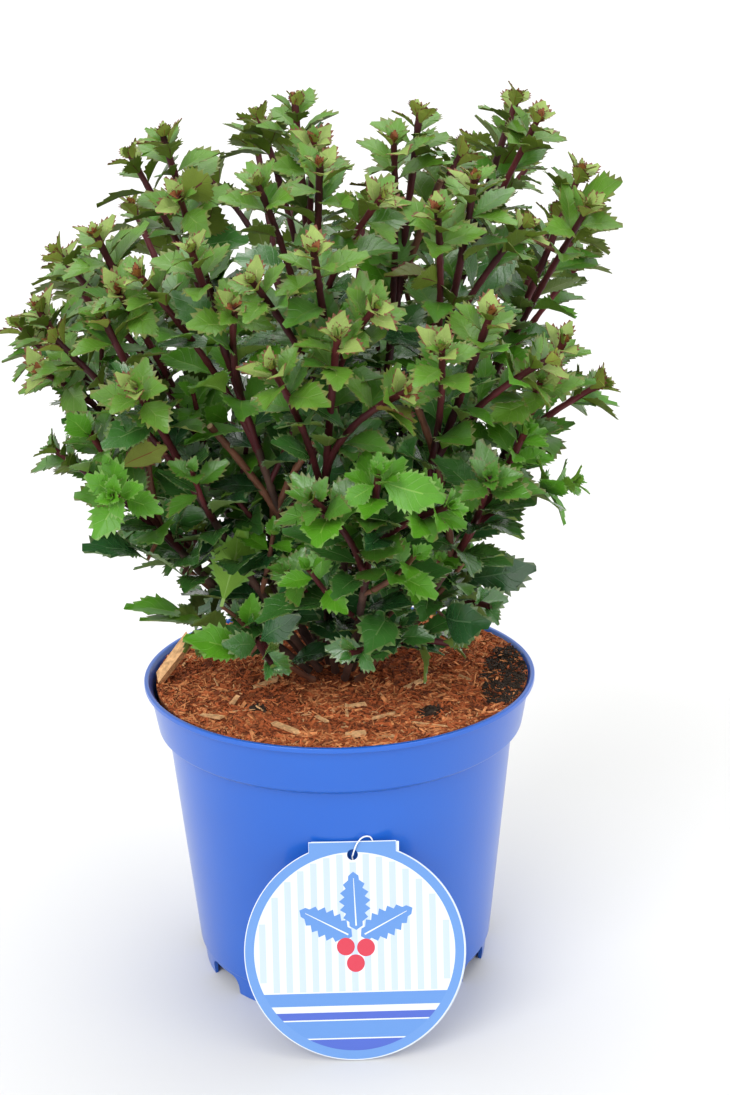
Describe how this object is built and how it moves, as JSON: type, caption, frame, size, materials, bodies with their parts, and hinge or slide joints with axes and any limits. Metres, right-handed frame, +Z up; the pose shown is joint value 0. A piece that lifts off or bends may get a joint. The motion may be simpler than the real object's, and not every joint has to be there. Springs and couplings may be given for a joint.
{
  "type": "potted blue holly",
  "caption": "Bushy evergreen holly shrub with spiny leaves on dark stems, in a round blue plastic nursery pot with a plain hang tag",
  "frame": {"origin": "centre of the pot's flat underside, on the pot's axis, at the level that it stands on", "axes": "+Z up along the pot's axis; -Y towards the hang tag and the plant's front; +X to the right seen from the front"},
  "size_m": [0.3, 0.3074, 0.4347],
  "materials": {
    "young_bark": "matt",
    "old_bark": "matt",
    "holly_leaves": "satin",
    "old_leaves": "satin",
    "pot_plastic": "satin",
    "substrate": "matt",
    "tag_card": "satin",
    "tag_string": "matt"
  },
  "bodies": {
    "root": {"bough_01": "young_bark", "bough_02": "young_bark", "bough_03": "young_bark", "bough_04": "young_bark", "bough_05": "young_bark", "bough_06": "young_bark", "bough_07": "young_bark", "bough_08": "young_bark", "bough_09": "young_bark", "bough_10": "young_bark", "bough_11": "young_bark", "bough_12": "young_bark", "bough_13": "young_bark", "bough_14": "young_bark", "bough_15": "young_bark", "bough_16": "young_bark", "bough_17": "young_bark", "bough_18": "young_bark", "bough_19": "young_bark", "bough_20": "young_bark", "bough_21": "young_bark", "bough_22": "young_bark", "bough_23": "young_bark", "bough_24": "young_bark", "crown_01": "holly_leaves", "crown_02": "holly_leaves", "crown_03": "holly_leaves", "crown_04": "holly_leaves", "crown_05": "holly_leaves", "crown_06": "holly_leaves", "crown_07": "holly_leaves", "crown_08": "holly_leaves", "crown_09": "holly_leaves", "crown_10": "holly_leaves", "crown_11": "holly_leaves", "crown_12": "holly_leaves", "crown_13": "holly_leaves", "crown_14": "holly_leaves", "crown_15": "holly_leaves", "crown_16": "holly_leaves", "crown_17": "holly_leaves", "crown_18": "holly_leaves", "crown_19": "holly_leaves", "crown_20": "holly_leaves", "crown_21": "holly_leaves", "crown_22": "holly_leaves", "crown_23": "holly_leaves", "crown_24": "holly_leaves", "low_spray_1": "old_leaves", "low_spray_2": "old_leaves", "low_spray_3": "old_leaves", "low_spray_4": "old_leaves", "low_spray_5": "old_leaves", "foot": "old_bark", "pot": "pot_plastic", "substrate": "substrate", "tag": "tag_card", "tag_string": "tag_string"}
  },
  "joints": []
}
